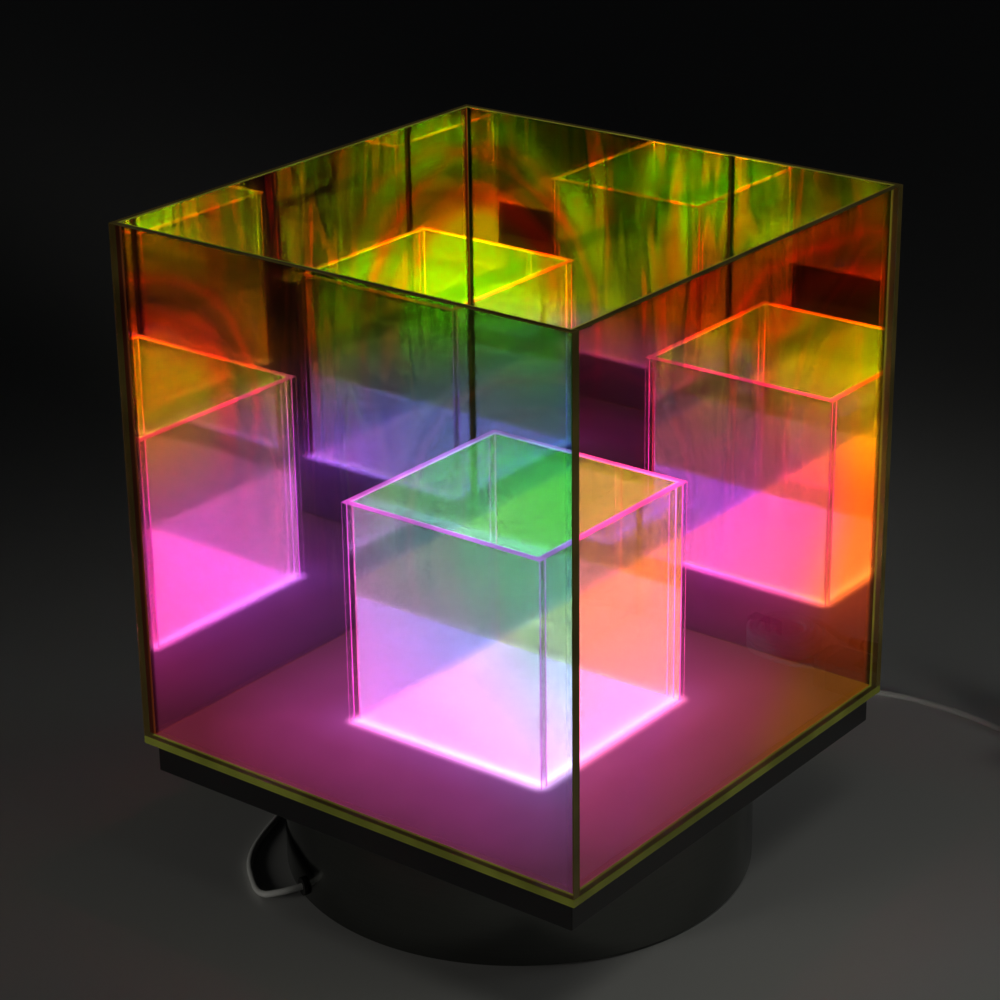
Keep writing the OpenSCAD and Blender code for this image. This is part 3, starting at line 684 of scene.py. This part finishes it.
FINISHES = {
    "tray_cover": finish_coat("cover_paint", (0.55, 0.52, 0.55), (0.62, 0.6, 0.62), 0.4),
    "cover_pads": finish_coat("pad_plastic", (0.1, 0.1, 0.1), (0.13, 0.13, 0.13), 0.5),
    "diffuser": finish_coat("opal", (0.9, 0.8, 0.88), (0.95, 0.86, 0.93), 0.4, emission=(1.0, 0.68, 0.96),
                            emission_power=4.0),
    "light_frame": finish_coat("frame_plastic", (0.82, 0.82, 0.82), (0.88, 0.88, 0.88), 0.45),
    "led_board": finish_coat("board_white", (0.75, 0.77, 0.78), (0.8, 0.82, 0.83), 0.35),
    "led_chips": finish_coat("chip_gel", (0.9, 0.75, 0.25), (0.95, 0.85, 0.4), 0.3),
    "lead_bush": finish_coat("black_rubber", (0.02, 0.02, 0.02), (0.035, 0.035, 0.035), 0.6),
    "base_plate": turned_steel("plate_steel", (0.35, 0.35, 0.36), (0.45, 0.45, 0.46), 0.3),
    "foot_ring": finish_coat("foot_rubber", (0.015, 0.015, 0.015), (0.03, 0.03, 0.03), 0.7, bump=0.4),
    "ballast": finish_coat("cast_iron", (0.06, 0.06, 0.065), (0.12, 0.11, 0.1), 0.55, metallic=0.8,
                           grain_scale=500, bump=0.6, bump_depth=0.5 * MM),
    "driver_board": finish_coat("green_board", (0.02, 0.14, 0.05), (0.03, 0.2, 0.07), 0.3, coat=0.4),
    "driver_parts": finish_coat("dark_sleeve", (0.03, 0.03, 0.035), (0.06, 0.06, 0.07), 0.4),
    "board_spacers": turned_steel("spacer_brass", (0.6, 0.42, 0.14), (0.7, 0.52, 0.2), 0.25),
    "cord_terminal": finish_coat("terminal_green", (0.03, 0.25, 0.07), (0.05, 0.32, 0.1), 0.4),
    "led_terminal": finish_coat("terminal_white", (0.75, 0.75, 0.72), (0.82, 0.82, 0.8), 0.4),
    "led_leads": finish_coat("red_wire", (0.4, 0.01, 0.01), (0.5, 0.02, 0.015), 0.35),
    "cord_anchor": finish_coat("nylon", (0.7, 0.67, 0.58), (0.76, 0.73, 0.65), 0.45),
    "coil_tie": finish_coat("tie_strap", (0.015, 0.015, 0.015), (0.03, 0.03, 0.03), 0.5),
    "switch_lower_shell": finish_coat("switch_grey", (0.2, 0.21, 0.23), (0.25, 0.26, 0.28), 0.3, bump=0.25),
    "switch_rocker": finish_coat("rocker_dark", (0.02, 0.02, 0.022), (0.035, 0.035, 0.04), 0.25),
    "switch_terminals": turned_steel("contact_brass", (0.65, 0.45, 0.15), (0.75, 0.55, 0.22), 0.2),
    "plug_body": finish_coat("plug_grey", (0.15, 0.155, 0.165), (0.2, 0.205, 0.215), 0.32, bump=0.25),
    "plug_shell": turned_steel("plug_steel", (0.6, 0.6, 0.62), (0.72, 0.72, 0.74), 0.15),
    "plug_tongue": finish_coat("tongue_white", (0.8, 0.8, 0.8), (0.86, 0.86, 0.86), 0.4),
    "cord_inside": finish_coat("lead_jacket", (0.78, 0.78, 0.76), (0.85, 0.85, 0.83), 0.38, bump=0.2),
    "frame_screws": turned_steel("screw_steel", (0.5, 0.5, 0.52), (0.6, 0.6, 0.62), 0.25),
}
SAME_FINISH = {
    "frame_screws": ("tray_screws", "base_screws", "ballast_screws", "board_screws", "anchor_screw",
                     "switch_screws", "switch_pin", "drum_posts"),
    "lead_bush": ("grommet",),
    "switch_lower_shell": ("switch_upper_shell",),
    "switch_terminals": ("switch_leaf", "plug_contacts"),
}


def dress(node_name, material):
    """Gives a CAD node its finish."""
    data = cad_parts[node_name].data
    data.materials.clear()
    data.materials.append(material)


for node_name, material in FINISHES.items():
    dress(node_name, material)
    for other in SAME_FINISH.get(node_name, ()):
        dress(other, material)

lead.data.materials.append(FINISHES["cord_inside"])
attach(lead, "base")
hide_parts("cord_lead", "cord_tail", "cord_coil", "cord_end")


# ---- Table, light and picture ----

def table_top():
    size = 6.0
    data = bpy.data.meshes.new("table_top")
    data.from_pydata([(-size, -size, 0), (size, -size, 0), (size, size, 0), (-size, size, 0)], [],
                     [(0, 1, 2, 3)])
    data.materials.append(finish_coat("pale_table", (0.7, 0.7, 0.7), (0.74, 0.74, 0.73), 0.45,
                                      cloud_scale=3, bump=0.03))
    top = bpy.data.objects.new("table_top", data)
    scene.collection.objects.link(top)


def soft_light(name, spot, target, size, power, tint, spread):
    """A round light that lights surfaces but doesn't show as a shape in what is polished."""
    data = bpy.data.lights.new(name, "AREA")
    data.shape = "DISK"
    data.size = size
    data.energy = power
    data.color = tint
    data.spread = math.radians(spread)
    light = bpy.data.objects.new(name, data)
    light.visible_glossy = False
    light.location = spot
    light.rotation_euler = (Vector(target) - Vector(spot)).to_track_quat("-Z", "Y").to_euler()
    scene.collection.objects.link(light)


table_top()
soft_light("overhead", spot=(0.34, -0.12, 0.62), target=(0.19, -0.07, 0),
           size=0.25, power=0.018, tint=(1.0, 1.0, 0.9), spread=45)
soft_light("low_front", spot=(-0.4, -0.95, 0.2), target=(-0.07, -0.07, 0.01),
           size=0.4, power=0.09, tint=(1.0, 0.98, 0.9), spread=50)
soft_light("low_right", spot=(0.9, -0.15, 0.14), target=(0.1, 0.19, 0),
           size=0.3, power=0.03, tint=(1.0, 0.98, 0.9), spread=20)
soft_light("low_back", spot=(0.55, 0.75, 0.4), target=(0.12, 0.16, 0),
           size=0.4, power=0.025, tint=(0.95, 1.0, 0.97), spread=50)

world = bpy.data.worlds.new("room")
world.use_nodes = True
background = world.node_tree.nodes["Background"]
background.inputs["Color"].default_value = colour(0.02, 0.021, 0.022)
background.inputs["Strength"].default_value = 0.12
scene.world = world

scene.view_settings.view_transform = "Standard"
scene.cycles.max_bounces = 28
scene.cycles.glossy_bounces = 20
scene.cycles.transparent_max_bounces = 64
scene.cycles.sample_clamp_indirect = 8.0
